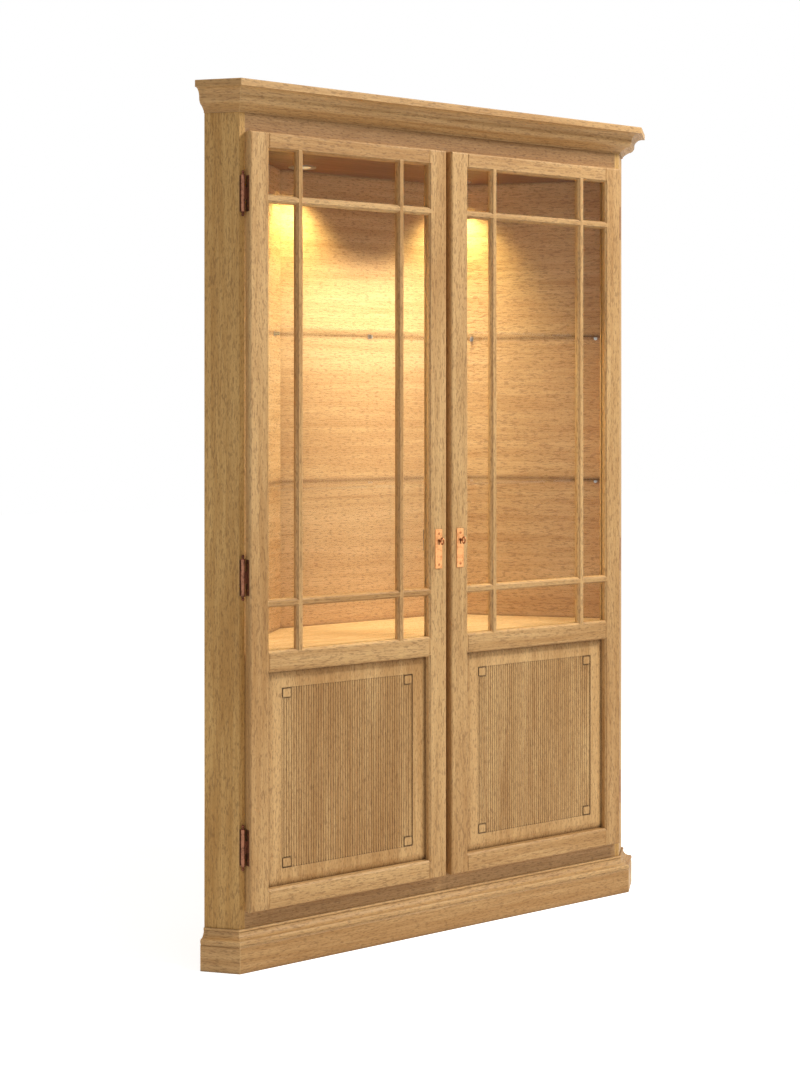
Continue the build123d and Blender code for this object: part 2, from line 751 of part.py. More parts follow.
def finial():
    """Turned end of a hinge pin, standing on the knuckle."""
    collar = BARREL_DIAMETER / 2
    ball = FINIAL_BALL / 2
    neck = FINIAL_NECK / 2
    ball_middle = FINIAL_HEIGHT - ball
    ball_foot = ball_middle - sqrt(ball**2 - neck**2)
    half = outline(
        (0, 0),
        (collar, 0),
        (collar, FINIAL_COLLAR),
        (neck, FINIAL_COLLAR + FINIAL_TAPER),
        (neck, ball_foot),
        ((ball, ball_middle), (0, FINIAL_HEIGHT)),
    )
    return revolve(Plane.XZ * half, Axis.Z)


def hinge_pin(level):
    """Pin through all three knuckles with a finial at each end."""
    low, high = around(level, HINGE_LENGTH)
    pin = rod_z(PIN_DIAMETER, HINGE_X, HINGE_Y, (low, high))
    top = Pos(HINGE_X, HINGE_Y, high) * finial()
    bottom = Pos(HINGE_X, HINGE_Y, low) * Rot(180, 0, 0) * finial()
    return pin + top + bottom


# Locks: a case behind the stile, a bolt that slides into the post, and a key that drives it

def keyhole(diameter, slot, y):
    """Round hole with a slot below it for the key's bit."""
    drop = (KEY_LEVEL - KEYHOLE_DROP, KEY_LEVEL)
    return rod_y(diameter, KEY_X, y, KEY_LEVEL) + block(around(KEY_X, slot), y, drop)


def lock_case():
    """Open-sided box on the back of the stile, with a mouth for the bolt and a seat for the key's tip."""
    x = (CASE_LEFT, CASE_RIGHT)
    y = (0, CASE_DEPTH)
    z = around(KEY_LEVEL, CASE_HEIGHT)
    case = block(x, y, z) - block(grown(x, -CASE_WALL), grown(y, -CASE_WALL), grown(z, -CASE_WALL))
    mouth = block(
        (CASE_RIGHT - 2 * CASE_WALL, CASE_RIGHT + OVERCUT),
        grown((BOLT_SETBACK, BOLT_REAR), RUNNING_FIT),
        grown(around(KEY_LEVEL, BOLT_HEIGHT), RUNNING_FIT),
    )
    tip_seat = rod_y(SHANK_DIAMETER + 2 * RUNNING_FIT, KEY_X, (0, CASE_DEPTH + OVERCUT), KEY_LEVEL)
    entry = keyhole(KEYHOLE_DIAMETER, KEYHOLE_SLOT, (-OVERCUT, 2 * CASE_WALL))
    return case - mouth - tip_seat - entry


def bolt():
    """Bolt with a full-depth head and a thin tail, slotted to ride on the key's shank."""
    z = around(KEY_LEVEL, BOLT_HEIGHT)
    head_start = KEY_X + BIT_REACH + BIT_CLEARANCE
    head = block((head_start, CASE_RIGHT), (BOLT_SETBACK, BOLT_REAR), z)
    tail = block((CASE_RIGHT - BOLT_LENGTH, head_start), (BOLT_REAR - BOLT_TAIL, BOLT_REAR), z)
    slot_half = SHANK_DIAMETER / 2 + RUNNING_FIT
    slot = block(
        (KEY_X - BOLT_THROW - slot_half, KEY_X + slot_half),
        (BOLT_SETBACK, BOLT_REAR + OVERCUT),
        around(KEY_LEVEL, 2 * slot_half),
    )
    return head + tail - slot


def key():
    """Key with a ring bow upright in front of the plate and its bit pointing down."""
    centre = (KEY_X, (BOW_FRONT + BOW_REAR) / 2, KEY_LEVEL)
    bow_plane = Plane(origin=centre, x_dir=(0, 1, 0), z_dir=(1, 0, 0))
    ring = Ellipse(BOW_LENGTH / 2, BOW_HEIGHT / 2)
    ring -= Ellipse(BOW_LENGTH / 2 - BOW_WALL, BOW_HEIGHT / 2 - BOW_WALL)
    bow = extrude(bow_plane * ring, BOW_THICK / 2, both=True)
    shank = rod_y(SHANK_DIAMETER, KEY_X, (BOW_REAR - BOW_WALL / 2, CASE_DEPTH), KEY_LEVEL)
    collar_front = BOW_REAR + KEY_COLLAR_GAP
    collar = rod_y(KEY_COLLAR, KEY_X, (collar_front, collar_front + KEY_COLLAR_LENGTH), KEY_LEVEL)
    bit = block(
        around(KEY_X, BIT_THICK),
        (BIT_SETBACK, BIT_SETBACK + BIT_DEPTH),
        (KEY_LEVEL - BIT_REACH, KEY_LEVEL),
    )
    return bow + shank + collar + bit


def escutcheon():
    """Bevelled lock plate with a keyhole."""
    plate = block(around(KEY_X, PLATE_WIDTH), (PLATE_FRONT, -DOOR_THICK), around(PLATE_LEVEL, PLATE_HEIGHT))
    plate = chamfer(plate.faces().sort_by(Axis.Y)[0].edges(), PLATE_BEVEL)
    return plate - keyhole(KEYHOLE_DIAMETER, KEYHOLE_SLOT, (PLATE_FRONT - OVERCUT, 0))


def key_passage():
    """The way for the key through the lock stile."""
    return keyhole(KEYHOLE_DIAMETER, KEYHOLE_SLOT, (-DOOR_THICK - OVERCUT, OVERCUT))


# Shelves, their supports and the lamps

def shelf_pin_spots(level):
    """Where the five supports of one shelf stand: place on the wall and direction into the room."""
    spots = [Location((0, INNER_DEPTH, level), (0, 0, -90))]
    for along in SHELF_PIN_PLACES:
        x = INNER_CORNER[0] - along / ROOT2
        y = INNER_CORNER[1] + along / ROOT2
        spots.append(Location((x, y, level), (0, 0, -135)))
        spots.append(Location((-x, y, level), (0, 0, -45)))
    return spots


def shelf_pin(spot):
    """A pin with a wall collar and a flat on top where the shelf lies."""
    radius = SHELF_PIN_DIAMETER / 2
    lying = Rot(0, 90, 0)
    bottom = (Align.CENTER, Align.CENTER, Align.MIN)
    length = SHELF_PIN_DEPTH + SHELF_PIN_PROJECTION
    pin = Pos(-SHELF_PIN_DEPTH, 0, 0) * lying * Cylinder(radius, length, align=bottom)
    collar = lying * Cylinder(SHELF_PIN_COLLAR / 2, SHELF_PIN_COLLAR_THICK, align=bottom)
    pin += collar
    flat = radius - SHELF_PIN_FLAT
    reach = SHELF_PIN_COLLAR
    pin -= block((0, SHELF_PIN_PROJECTION + OVERCUT), (-reach, reach), (flat, reach))
    return Pos(0, 0, -flat) * spot * pin


def shelf_pin_holes(panel):
    """A back panel bored for the shelf pins that stand in it."""
    drop = SHELF_PIN_DIAMETER / 2 - SHELF_PIN_FLAT
    bore = Cylinder(SHELF_PIN_DIAMETER / 2 + RUNNING_FIT, 2 * SHELF_PIN_DEPTH)
    for underside in SHELF_LEVELS:
        for spot in shelf_pin_spots(underside - drop):
            panel -= spot * Rot(0, 90, 0) * bore
    return panel


def shelf_pins():
    """All supports of the three loose shelves."""
    pins = []
    for underside in SHELF_LEVELS:
        for spot in shelf_pin_spots(underside):
            pins.append(shelf_pin(spot))
    return pins


def lamp_housing():
    """Can with a flange under the ceiling and a seat for the lens, at the right lamp's place."""
    flange = LAMP_FLANGE / 2
    body = LAMP_BODY / 2
    lens = LENS_DIAMETER / 2 + RUNNING_FIT
    mouth = LENS_DIAMETER / 2 - LENS_SEAT
    lip = LAMP_LIP - LAMP_RING
    lens_top = lip + LENS_THICK
    roof = LAMP_HEIGHT - LAMP_WALL
    half = outline(
        (mouth, -LAMP_RING),
        (flange, -LAMP_RING),
        (flange, 0),
        (body, 0),
        (body, LAMP_HEIGHT),
        (0, LAMP_HEIGHT),
        (0, roof),
        (body - LAMP_WALL, roof),
        (body - LAMP_WALL, lens_top),
        (lens, lens_top),
        (lens, lip),
        (mouth, lip),
    )
    return Pos(LAMP_X, LAMP_Y, CEILING_LEVEL) * revolve(Plane.XZ * half, Axis.Z)


def lamp_lens():
    """Round glass in the right lamp's seat."""
    foot = CEILING_LEVEL + LAMP_LIP - LAMP_RING
    return rod_z(LENS_DIAMETER, LAMP_X, LAMP_Y, (foot, foot + LENS_THICK))


# Writing the nodes

def save_carcass():
    """Walls, boards and front frame."""
    save_both("side_{}", side_panel())
    save_both("back_panel_{}", mirrored(shelf_pin_holes(back_leg())))
    save("back_panel_centre", shelf_pin_holes(back_centre()))
    save("bottom_board", level_board(BASE_LEVEL))
    save("middle_board", level_board(FLOOR_LEVEL))
    save("ceiling_board", ceiling_board())
    save("top_board", top_board())
    save("frieze", frieze())
    save("base_rail", base_rail())
    save("centre_post", centre_post())
    save("strike_plates", strike_plate(), mirrored(strike_plate()))


def save_mouldings():
    """Cornice, base moulding and plinth, each in three mitred lengths."""
    base_top = PLINTH_HEIGHT + BASE_MOULDING_HEIGHT
    runs = (
        ("cornice", cornice_section(), CORNICE_REACH, (CORNICE_FOOT, HEIGHT)),
        ("base_moulding", base_moulding_section(), BASE_MOULDING_REACH, (PLINTH_HEIGHT, base_top)),
        ("plinth", plinth_section(), PLINTH_REACH, (0, PLINTH_HEIGHT)),
    )
    for name, section, reach, z in runs:
        save(f"{name}_front", front_run(section, reach, z))
        save_both(name + "_{}", return_run(section, reach, z))


def save_fittings():
    """Shelves, supports, lamps and the hinge pieces that stay with the carcass."""
    shelf_z = (CUPBOARD_SHELF_LEVEL, CUPBOARD_SHELF_LEVEL + BOARD_THICK)
    save("cupboard_shelf", room(shelf_z, CUPBOARD_SHELF_FRONT, SHELF_CLEARANCE))
    panes = (("lower", LOWER_GLASS_SHELF_LEVEL), ("upper", UPPER_GLASS_SHELF_LEVEL))
    for name, level in panes:
        pane_z = (level, level + GLASS_SHELF_THICK)
        save(f"glass_shelf_{name}", room(pane_z, GLASS_SHELF_FRONT, SHELF_CLEARANCE))
    save("shelf_pins", *shelf_pins())
    save("lamp_housings", mirrored(lamp_housing()), lamp_housing())
    save("lamp_lenses", mirrored(lamp_lens()), lamp_lens())
    leaves = [frame_leaf(level) for level in HINGE_LEVELS]
    pins = [hinge_pin(level) for level in HINGE_LEVELS]
    save("hinge_frame_leaves", *leaves, *[mirrored(leaf) for leaf in leaves])
    save("hinge_pins", *pins, *[mirrored(pin) for pin in pins])


def save_doors():
    """Both doors, piece by piece, with their locks."""
    leaf_mortises = [door_leaf_plate(level) for level in HINGE_LEVELS]
    hinge_stile = stile((DOOR_LEFT, OPENING_LEFT), -1, leaf_mortises)
    lock_stile = stile((OPENING_RIGHT, DOOR_RIGHT), 1, [key_passage()])
    bottom, middle, top = rails()
    rail_bottom = rail_piece(bottom, 0)
    rail_middle = rail_piece(middle)
    rail_top = rail_piece(top, -1)
    frame = [hinge_stile, lock_stile, rail_top, rail_middle]
    uprights = vertical_muntins(frame)
    save_both("door_{}_stile_hinge", hinge_stile)
    save_both("door_{}_stile_lock", lock_stile)
    save_both("door_{}_rail_bottom", rail_bottom)
    save_both("door_{}_rail_middle", rail_middle)
    save_both("door_{}_rail_top", rail_top)
    save_both("door_{}_panel", door_panel())
    save_both("door_{}_glass", door_glass())
    save_both("door_{}_glazing_beads", *glazing_beads())
    save_both("door_{}_muntins_vertical", *uprights)
    save_both("door_{}_muntins_horizontal", *horizontal_muntins(frame, uprights))
    save_both("door_{}_hinge_leaves", *[door_leaf(level) for level in HINGE_LEVELS])
    save_both("door_{}_escutcheon", escutcheon())
    save_both("door_{}_lock_case", lock_case())
    save_both("bolt_{}", bolt())
    save_both("key_{}", key())


os.makedirs("parts", exist_ok=True)
save_carcass()
save_mouldings()
save_fittings()
save_doors()
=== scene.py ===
"""Dresses the corner display cabinet: oak, glass, copper fittings, lit interior, studio and camera.

Metres, in the same frame as the CAD. The oak's grain runs along each board, in object coordinates.
"""

import json
from math import cos, pi, radians, sin

import bmesh
import bpy
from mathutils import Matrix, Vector

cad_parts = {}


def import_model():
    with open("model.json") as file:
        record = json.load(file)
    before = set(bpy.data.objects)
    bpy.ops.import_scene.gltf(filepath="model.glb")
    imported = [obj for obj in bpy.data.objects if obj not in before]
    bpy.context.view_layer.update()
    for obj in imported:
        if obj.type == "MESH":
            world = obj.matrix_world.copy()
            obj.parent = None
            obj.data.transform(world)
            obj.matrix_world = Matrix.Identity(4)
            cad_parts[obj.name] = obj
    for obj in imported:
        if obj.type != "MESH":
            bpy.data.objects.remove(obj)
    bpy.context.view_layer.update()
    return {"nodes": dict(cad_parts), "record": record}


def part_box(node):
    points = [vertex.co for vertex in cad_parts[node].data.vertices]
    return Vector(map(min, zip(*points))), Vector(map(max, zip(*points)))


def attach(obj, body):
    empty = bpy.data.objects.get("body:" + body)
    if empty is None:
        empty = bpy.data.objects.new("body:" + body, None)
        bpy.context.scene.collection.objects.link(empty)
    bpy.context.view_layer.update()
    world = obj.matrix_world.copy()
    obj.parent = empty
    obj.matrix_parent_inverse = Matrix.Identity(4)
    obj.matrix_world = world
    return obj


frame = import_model()

# Camera, solved from the photograph
FRAME_HEIGHT = 1067
FOCAL_PIXELS = 1583.35
HORIZON_ROW = 408.7
SENSOR = 36.0
CAMERA_PLACE = (-2.1577, -3.3629, 1.2663)
CAMERA_YAW = 0.5639
CLIP_START = 0.05


def srgb(red, green, blue):
    """A linear colour from eight-bit values, by the sRGB standard's curve."""
    linear = []
    for value in (red, green, blue):
        share = value / 255
        linear.append(share / 12.92 if share <= 0.04045 else ((share + 0.055) / 1.055) ** 2.4)
    return (*linear, 1.0)


# Oak tones: pale wood, deeper growth lines, dark flecks, the painted shade laid into corners and between
# parts, and the tone laid along edges, with how strongly; on the reeded panels that edge tone is painted
# shade too.
# The front frame and the ceiling are darker than the doors' oak, which stands in for shadow.
OAK = {"pale": srgb(213, 174, 119), "deep": srgb(181, 138, 84), "fleck": srgb(112, 75, 38),
       "corner_shade": srgb(64, 40, 18), "edge": srgb(222, 184, 128), "edge_share": 0.34}
# The reeded panels' dark edge tone and deep corner tone are painted shade of the reeds and their grooves
PANEL_OAK = {"pale": srgb(218, 179, 123), "deep": srgb(186, 143, 88), "fleck": srgb(116, 78, 40),
             "corner_shade": srgb(44, 26, 10), "edge": srgb(74, 48, 22), "edge_share": 0.92}
FRAME_OAK = {"pale": srgb(190, 150, 100), "deep": srgb(160, 120, 72), "fleck": srgb(92, 60, 30),
             "corner_shade": srgb(48, 30, 12), "edge": srgb(200, 160, 108), "edge_share": 0.30}
RETURN_OAK = {"pale": srgb(213, 172, 106), "deep": srgb(181, 136, 71), "fleck": srgb(104, 68, 30),
              "corner_shade": srgb(62, 38, 16), "edge": srgb(220, 182, 124), "edge_share": 0.34}
INSIDE_OAK = {"pale": srgb(226, 190, 140), "deep": srgb(204, 162, 110), "fleck": srgb(136, 94, 54),
              "corner_shade": srgb(96, 60, 28), "edge": srgb(226, 190, 140), "edge_share": 0.20}
CEILING_OAK = {"pale": srgb(158, 112, 68), "deep": srgb(124, 84, 46), "fleck": srgb(84, 54, 28),
               "corner_shade": srgb(52, 32, 14), "edge": srgb(158, 112, 68), "edge_share": 0.20}

# Pieces with tones of their own
PANELS = ("door_left_panel", "door_right_panel")
FRONT_FRAME = ("base_rail", "centre_post", "frieze")

# Texture scales, in features per metre across and along the grain
BROAD_GRAIN = (4.0, 0.8)
LINE_GRAIN = (46.0, 1.8)
FIBRE_GRAIN = (430.0, 16.0)
FLECK_GRAIN = (300.0, 72.0)
FINE_FLECK_GRAIN = (620.0, 150.0)
EVEN = (1.0, 1.0, 1.0)

# How far each board's grain is moved from the one before, and the returns' angle in degrees
BOARD_STEP = (0.37, 0.61, 0.83)
RETURN_ANGLE = 45

# Noise of each layer of the wood
BROAD_NOISE = {"detail": 3.0, "rough": 0.55, "distortion": 0.6}
LINE_NOISE = {"detail": 3.0, "rough": 0.6, "distortion": 0.8}
FIBRE_NOISE = {"rough": 0.6}
FLECK_NOISE = {"detail": 1.0}

# Shares of the broad tone and of the growth lines
BROAD_SHARE = 0.55
LINE_SHARE = 0.45

# Noise values between which each layer sets in, and how strongly it shows
TONE_RANGE = (0.36, 0.64)
FIBRE_RANGE = (0.30, 0.72)
FIBRE_STRENGTH = 0.28
FLECK_RANGE = (0.52, 0.68)
FLECK_STRENGTH = 0.42
FINE_FLECK_RANGE = (0.54, 0.70)
FINE_FLECK_STRENGTH = 0.30

# Painted shade in corners and between parts, and the tone laid along edges of the wood
CREVICE_REACH = 0.014
CREVICE_RANGE = (0.22, 0.92)
CREVICE_STRENGTH = 0.88
EDGE_REACH = 0.0025
EDGE_RANGE = (0.35, 0.95)
SHADE_SAMPLES = 4

# Gloss and relief of the wood
OAK_GLOSS_RANGE = (0.25, 0.75)
OAK_ROUGHNESS = (0.46, 0.60)
OAK_SPECULAR = 0.35
FIBRE_RELIEF = 0.5
OAK_BUMP = (0.35, 0.0006)

# Metals
PLATE_COPPER = (srgb(244, 178, 116), srgb(206, 128, 72))
KNUCKLE_COPPER = (srgb(150, 100, 74), srgb(88, 52, 36))
KEY_COPPER = (srgb(168, 106, 64), srgb(100, 58, 34))
DARK_COPPER = (srgb(112, 62, 40), srgb(66, 36, 24))
SCREW_COPPER = (srgb(190, 122, 72), srgb(136, 82, 44))
LOCK_STEEL = (0.56, 0.55, 0.53, 1.0)
LOCK_ROUGHNESS = 0.34
LAMP_STEEL = (0.60, 0.55, 0.46, 1.0)
LAMP_ROUGHNESS = 0.40
DARK_LINE = (0.1, 0.1, 0.1, 1.0)
BRUSH_SCALE = 900.0
COPPER_BRUSH = (1.0, 1.0, 0.15)
COPPER_BUMP = (0.15, 0.0002)
COPPER_METALLIC = 0.75
COPPER_GLOSS_RANGE = (0.3, 0.7)
COPPER_ROUGHNESS = (0.32, 0.50)
# Painted shade in the copper's corners
COPPER_CREVICE_RANGE = (0.2, 0.8)
COPPER_CREVICE_STRENGTH = 0.6
PATCH_SCALE = 90.0
PATCH_NOISE = {"detail": 4.0, "rough": 0.65}
PATCH_RANGE = (0.44, 0.72)
STEEL_BRUSH = (1.0, 0.1, 1.0)
STEEL_RANGE = (0.3, 0.7)
STEEL_LINE_STRENGTH = 0.25
STEEL_ROUGHNESS_SPREAD = 0.06

# Glass
DOOR_GLASS = (0.985, 0.99, 0.985, 1.0)
SHELF_GLASS = (0.985, 0.992, 0.988, 1.0)
GLASS_INDEX = 1.45
DOOR_MIRROR = (0.35, 0.35, 0.35, 1.0)
SHELF_MIRROR = (0.98, 0.98, 0.97, 1.0)
SMEAR_STRETCH = (1.0, 1.0, 0.3)
SMEAR_SCALE = 3.0
SMEAR_RANGE = (0.35, 0.75)
SMEAR_ROUGHNESS = (0.0, 0.05)

# World and page
WORLD_LEVEL = 0.36
PAGE_COLOURS = ((0.94, 0.94, 0.94, 1.0), (0.96, 0.96, 0.96, 1.0))
PAGE_GLOW = 0.67
PAGE_SIZE = 30.0
PAGE_DROP = 0.0005
PAGE_NOISE_SCALE = 2.0
PAGE_NOISE = {"detail": 1.0}
WHITE = (1.0, 1.0, 1.0, 1.0)

# Studio lamps
KEY_LAMP = {"place": (2.1, -2.5, 4.3), "target": (0.0, 0.0, 1.1), "size": 1.1, "power": 180.0,
            "colour": (1.0, 0.97, 0.92)}
FILL_LAMP = {"place": (-2.9, -1.9, 1.3), "target": (0.0, 0.0, 0.8), "size": 2.4, "power": 15.0,
             "colour": (1.0, 0.98, 0.95)}

# Downlights under the cabinet's two lenses
DOWNLIGHT_POWER = 15.0
DOWNLIGHT_COLOUR = (1.0, 0.86, 0.42)
DOWNLIGHT_ANGLE = 104.0
DOWNLIGHT_BLEND = 0.85
DOWNLIGHT_RADIUS = 0.03
DOWNLIGHT_DROP = 0.008

# Soft light inside, which stands for no lamp of the cabinet
GLOW_POWER = 3.8
GLOW_COLOUR = (1.0, 0.95, 0.80)
GLOW_SIZE = (0.40, 0.12)
GLOW_SPREAD = 118.0
GLOW_DROP = 0.10
GLOW_FROM_ROW = 0.11

# Lenses
LENS_GLOW = 0.3
LENS_COLOURS = ((1.0, 0.80, 0.45, 1.0), (1.0, 0.90, 0.66, 1.0))
LENS_ROUGHNESS = 0.35
LENS_CELL_SCALE = 260.0
LENS_NOISE = {"detail": 1.0}
LENS_RANGE = (0.3, 0.7)

# Screws, and the height gap that parts one hinge's vertices from the next
PLATE_SCREW = {"radius": 0.0031, "rise": 0.0008}
LEAF_SCREW = {"radius": 0.0026, "rise": 0.0004}
PLATE_SCREW_OFFSET = 0.0375
LEAF_SCREW_OFFSET = 0.0285
LEAF_GAP = 0.2
LEVEL_DIGITS = 4
SLOT_WIDTH = 0.0008
SLOT_DEPTH = 0.0005
SCREW_RINGS = 6
SCREW_SIDES = 24


# Small helpers for node trees

class Tree:
    """A material's node tree, with short ways to add and join nodes."""

    def __init__(self, name):
        self.material = bpy.data.materials.new(name)
        self.material.use_nodes = True
        self.nodes = self.material.node_tree.nodes
        self.links = self.material.node_tree.links
        self.nodes.clear()
        self.output = self.add("ShaderNodeOutputMaterial")

    def add(self, kind, **settings):
        """A new node with its properties set."""
        node = self.nodes.new(kind)
        for key, value in settings.items():
            setattr(node, key, value)
        return node

    def join(self, source, target):
        """Links two sockets."""
        self.links.new(source, target)

    def feed(self, socket, value):
        """Sets a socket to a number or colour, or links it to a socket."""
        if isinstance(value, bpy.types.NodeSocket):
            self.join(value, socket)
        else:
            socket.default_value = value

    def math(self, operation, first, second=0.0):
        """The result of a Math node."""
        node = self.add("ShaderNodeMath", operation=operation)
        self.feed(node.inputs[0], first)
        self.feed(node.inputs[1], second)
        return node.outputs[0]

    def mix(self, factor, first, second, blend="MIX"):
        """A colour mix."""
        node = self.add("ShaderNodeMix", data_type="RGBA", blend_type=blend)
        self.feed(node.inputs["Factor"], factor)
        self.feed(node.inputs["A"], first)
        self.feed(node.inputs["B"], second)
        return node.outputs["Result"]

    def noise(self, vector, scale=1.0, detail=2.0, rough=0.5, distortion=0.0):
        """A noise texture's factor."""
        node = self.add("ShaderNodeTexNoise")
        self.join(vector, node.inputs["Vector"])
        node.inputs["Scale"].default_value = scale
        node.inputs["Detail"].default_value = detail
        node.inputs["Roughness"].default_value = rough
        node.inputs["Distortion"].default_value = distortion
        return node.outputs["Fac"]

    def ramp(self, value, low, high, start=0.0, end=1.0):
        """A value mapped smoothly from one range to another."""
        node = self.add("ShaderNodeMapRange", interpolation_type="SMOOTHSTEP")
        self.feed(node.inputs["Value"], value)
        node.inputs["From Min"].default_value = low
        node.inputs["From Max"].default_value = high
        node.inputs["To Min"].default_value = start
        node.inputs["To Max"].default_value = end
        return node.outputs["Result"]

    def stretched(self, scale, turn=0.0, offset=(0.0, 0.0, 0.0)):
        """Object coordinates turned about the vertical, moved, then scaled."""
        place = self.add("ShaderNodeTexCoord").outputs["Object"]
        turned = self.add("ShaderNodeMapping")
        turned.inputs["Rotation"].default_value = (0.0, 0.0, turn)
        turned.inputs["Location"].default_value = offset
        self.join(place, turned.inputs["Vector"])
        sized = self.add("ShaderNodeMapping")
        sized.inputs["Scale"].default_value = scale
        self.join(turned.outputs["Vector"], sized.inputs["Vector"])
        return sized.outputs["Vector"]

    def openness(self, reach, inside=False, alone=True):
        """How open the surface is within a reach; from the inside it falls near convex edges."""
        node = self.add("ShaderNodeAmbientOcclusion", samples=SHADE_SAMPLES, inside=inside, only_local=alone)
        node.inputs["Distance"].default_value = reach
        return node.outputs["AO"]

    def bump(self, height, strength, distance):
        """A normal from a height."""
        node = self.add("ShaderNodeBump")
        self.join(height, node.inputs["Height"])
        node.inputs["Strength"].default_value = strength
        node.inputs["Distance"].default_value = distance
        return node.outputs["Normal"]

    def show(self, socket):
        """Sends a shader to the surface and returns the material."""
        self.join(socket, self.output.inputs["Surface"])
        return self.material


# Wood

def oak(name, axis, turn, index, tones, alone):
    """Oiled oak: broad tone, growth lines, fibre, short dark flecks, painted shade in corners and a tone
    along edges.
    """
    tree = Tree(name)
    offset = tuple(step * index for step in BOARD_STEP)

    def grained(scales):
        across, along = scales
        scale = (along, across, across) if axis == "x" else (across, across, along)
        return tree.stretched(scale, turn, offset)

    broad = tree.noise(grained(BROAD_GRAIN), **BROAD_NOISE)
    lines = tree.noise(grained(LINE_GRAIN), **LINE_NOISE)
    fibre = tree.noise(grained(FIBRE_GRAIN), **FIBRE_NOISE)
    flecks = tree.noise(grained(FLECK_GRAIN), **FLECK_NOISE)
    fine = tree.noise(grained(FINE_FLECK_GRAIN), **FLECK_NOISE)

    broad_part = tree.math("MULTIPLY", broad, BROAD_SHARE)
    line_part = tree.math("MULTIPLY", lines, LINE_SHARE)
    tone = tree.math("ADD", broad_part, line_part)
    base = tree.mix(tree.ramp(tone, *TONE_RANGE), tones["deep"], tones["pale"])
    fibred = tree.mix(tree.ramp(fibre, *FIBRE_RANGE, 0.0, FIBRE_STRENGTH), base, tones["deep"], "MULTIPLY")
    spots = tree.ramp(flecks, *FLECK_RANGE)
    small_spots = tree.ramp(fine, *FINE_FLECK_RANGE)
    spotted = tree.mix(tree.math("MULTIPLY", spots, FLECK_STRENGTH), fibred, tones["fleck"])
    spotted = tree.mix(tree.math("MULTIPLY", small_spots, FINE_FLECK_STRENGTH), spotted, tones["fleck"])

    # Edges take the edge tone: lighter on most oak, painted shade of the reeds on the reeded panels
    edge = tree.ramp(tree.openness(EDGE_REACH, inside=True), *EDGE_RANGE, tones["edge_share"], 0.0)
    edged = tree.mix(edge, spotted, tones["edge"])
    # Painted shade: corners, recesses and gaps between parts are darkened toward the darkest tone
    openness = tree.openness(CREVICE_REACH, alone=alone)
    corner = tree.ramp(openness, *CREVICE_RANGE, CREVICE_STRENGTH, 0.0)
    colour = tree.mix(corner, edged, tones["corner_shade"])

    shader = tree.add("ShaderNodeBsdfPrincipled")
    tree.join(colour, shader.inputs["Base Color"])
    tree.join(tree.ramp(fibre, *OAK_GLOSS_RANGE, *OAK_ROUGHNESS), shader.inputs["Roughness"])
    shader.inputs["Specular IOR Level"].default_value = OAK_SPECULAR
    height = tree.math("SUBTRACT", tree.math("MULTIPLY", fibre, FIBRE_RELIEF), spots)
    tree.join(tree.bump(height, *OAK_BUMP), shader.inputs["Normal"])
    return tree.show(shader.outputs["BSDF"])


def grain_of(node):
    """The axis of a board's grain, and the turn that lays a return's moulding along x."""
    if any(word in node for word in ("cornice", "base_moulding", "plinth")):
        turn = {"left": RETURN_ANGLE, "right": -RETURN_ANGLE}.get(node.split("_")[-1], 0)
        return "x", radians(turn)
    upright = ("side_", "stile", "muntins_vertical", "beads", "centre_post")
    if any(word in node for word in upright) or node in PANELS:
        return "z", 0.0
    if node == "back_panel_left":
        return "x", radians(-RETURN_ANGLE)
    if node == "back_panel_right":
        return "x", radians(RETURN_ANGLE)
    return "x", 0.0


# Metals, glass and lens

def copper(name, colours):
    """Aged copper: darker, duller patches over a brushed bright metal, with painted shade in corners."""
    bright, dull = colours
    tree = Tree(name)
    patches = tree.noise(tree.stretched(EVEN), PATCH_SCALE, **PATCH_NOISE)
    brushed = tree.noise(tree.stretched(COPPER_BRUSH), BRUSH_SCALE)
    tint = tree.mix(tree.ramp(patches, *PATCH_RANGE), bright, dull)
    # Painted shade: corners are darkened toward the darkest copper
    corner = tree.ramp(tree.openness(CREVICE_REACH), *COPPER_CREVICE_RANGE, COPPER_CREVICE_STRENGTH, 0.0)
    shader = tree.add("ShaderNodeBsdfPrincipled")
    tree.join(tree.mix(corner, tint, DARK_COPPER[1]), shader.inputs["Base Color"])
    shader.inputs["Metallic"].default_value = COPPER_METALLIC
    tree.join(tree.ramp(patches, *COPPER_GLOSS_RANGE, *COPPER_ROUGHNESS), shader.inputs["Roughness"])
    tree.join(tree.bump(brushed, *COPPER_BUMP), shader.inputs["Normal"])
    return tree.show(shader.outputs["BSDF"])


def steel(name, colour, roughness):
    """Satin steel with fine lines."""
    tree = Tree(name)
    lines = tree.noise(tree.stretched(STEEL_BRUSH), BRUSH_SCALE)
    shader = tree.add("ShaderNodeBsdfPrincipled")
    darkness = tree.ramp(lines, *STEEL_RANGE, 0.0, STEEL_LINE_STRENGTH)
    tree.join(tree.mix(darkness, colour, DARK_LINE), shader.inputs["Base Color"])
    shader.inputs["Metallic"].default_value = 1.0
    smoothest = roughness - STEEL_ROUGHNESS_SPREAD
    roughest = roughness + STEEL_ROUGHNESS_SPREAD
    tree.join(tree.ramp(lines, *STEEL_RANGE, smoothest, roughest), shader.inputs["Roughness"])
    return tree.show(shader.outputs["BSDF"])


